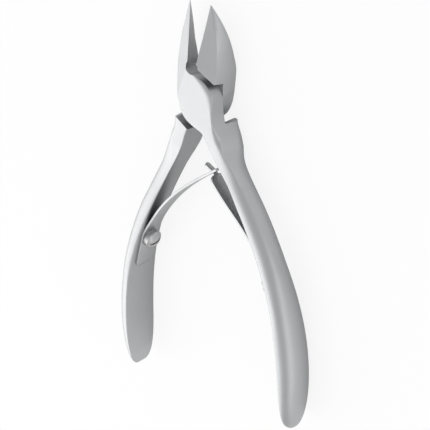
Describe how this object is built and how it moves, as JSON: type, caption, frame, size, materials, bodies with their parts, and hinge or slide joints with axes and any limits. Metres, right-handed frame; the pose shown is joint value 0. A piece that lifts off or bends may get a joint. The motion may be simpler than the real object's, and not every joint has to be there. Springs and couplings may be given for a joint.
{
  "type": "cuticle nipper",
  "caption": "Cuticle nipper with slim bowed handles, pointed ground jaws on a flush lap joint, and interlocking leaf springs that push the handles apart.",
  "frame": {"origin": "on the pivot axis, at the flat back face of the joint", "axes": "+X to the right seen from the front, +Y from the pivot to the jaw tips, +Z along the pivot axis to the front"},
  "size_m": [0.0542, 0.0977, 0.0095],
  "materials": {
    "satin_steel": "fine satin, ground jaws and bead-blasted handles",
    "spring_steel": "satin rolled strip",
    "screw_steel": "turned and tumbled"
  },
  "bodies": {
    "front": {"front_lever": "satin_steel", "pivot_rivet": "satin_steel", "right_spring": "spring_steel", "right_spring_screw": "screw_steel"},
    "back": {"back_lever": "satin_steel", "left_spring": "spring_steel", "left_spring_screw": "screw_steel"}
  },
  "joints": [
    {"name": "jaw_pivot", "type": "hinge", "parent": "front", "child": "back", "pos_m": [0, 0, 0], "axis": [0, 0, 1], "range_deg": [0, 15], "stiffness_Nm_per_rad": 1.5, "deforming": ["left_spring", "right_spring"]}
  ]
}
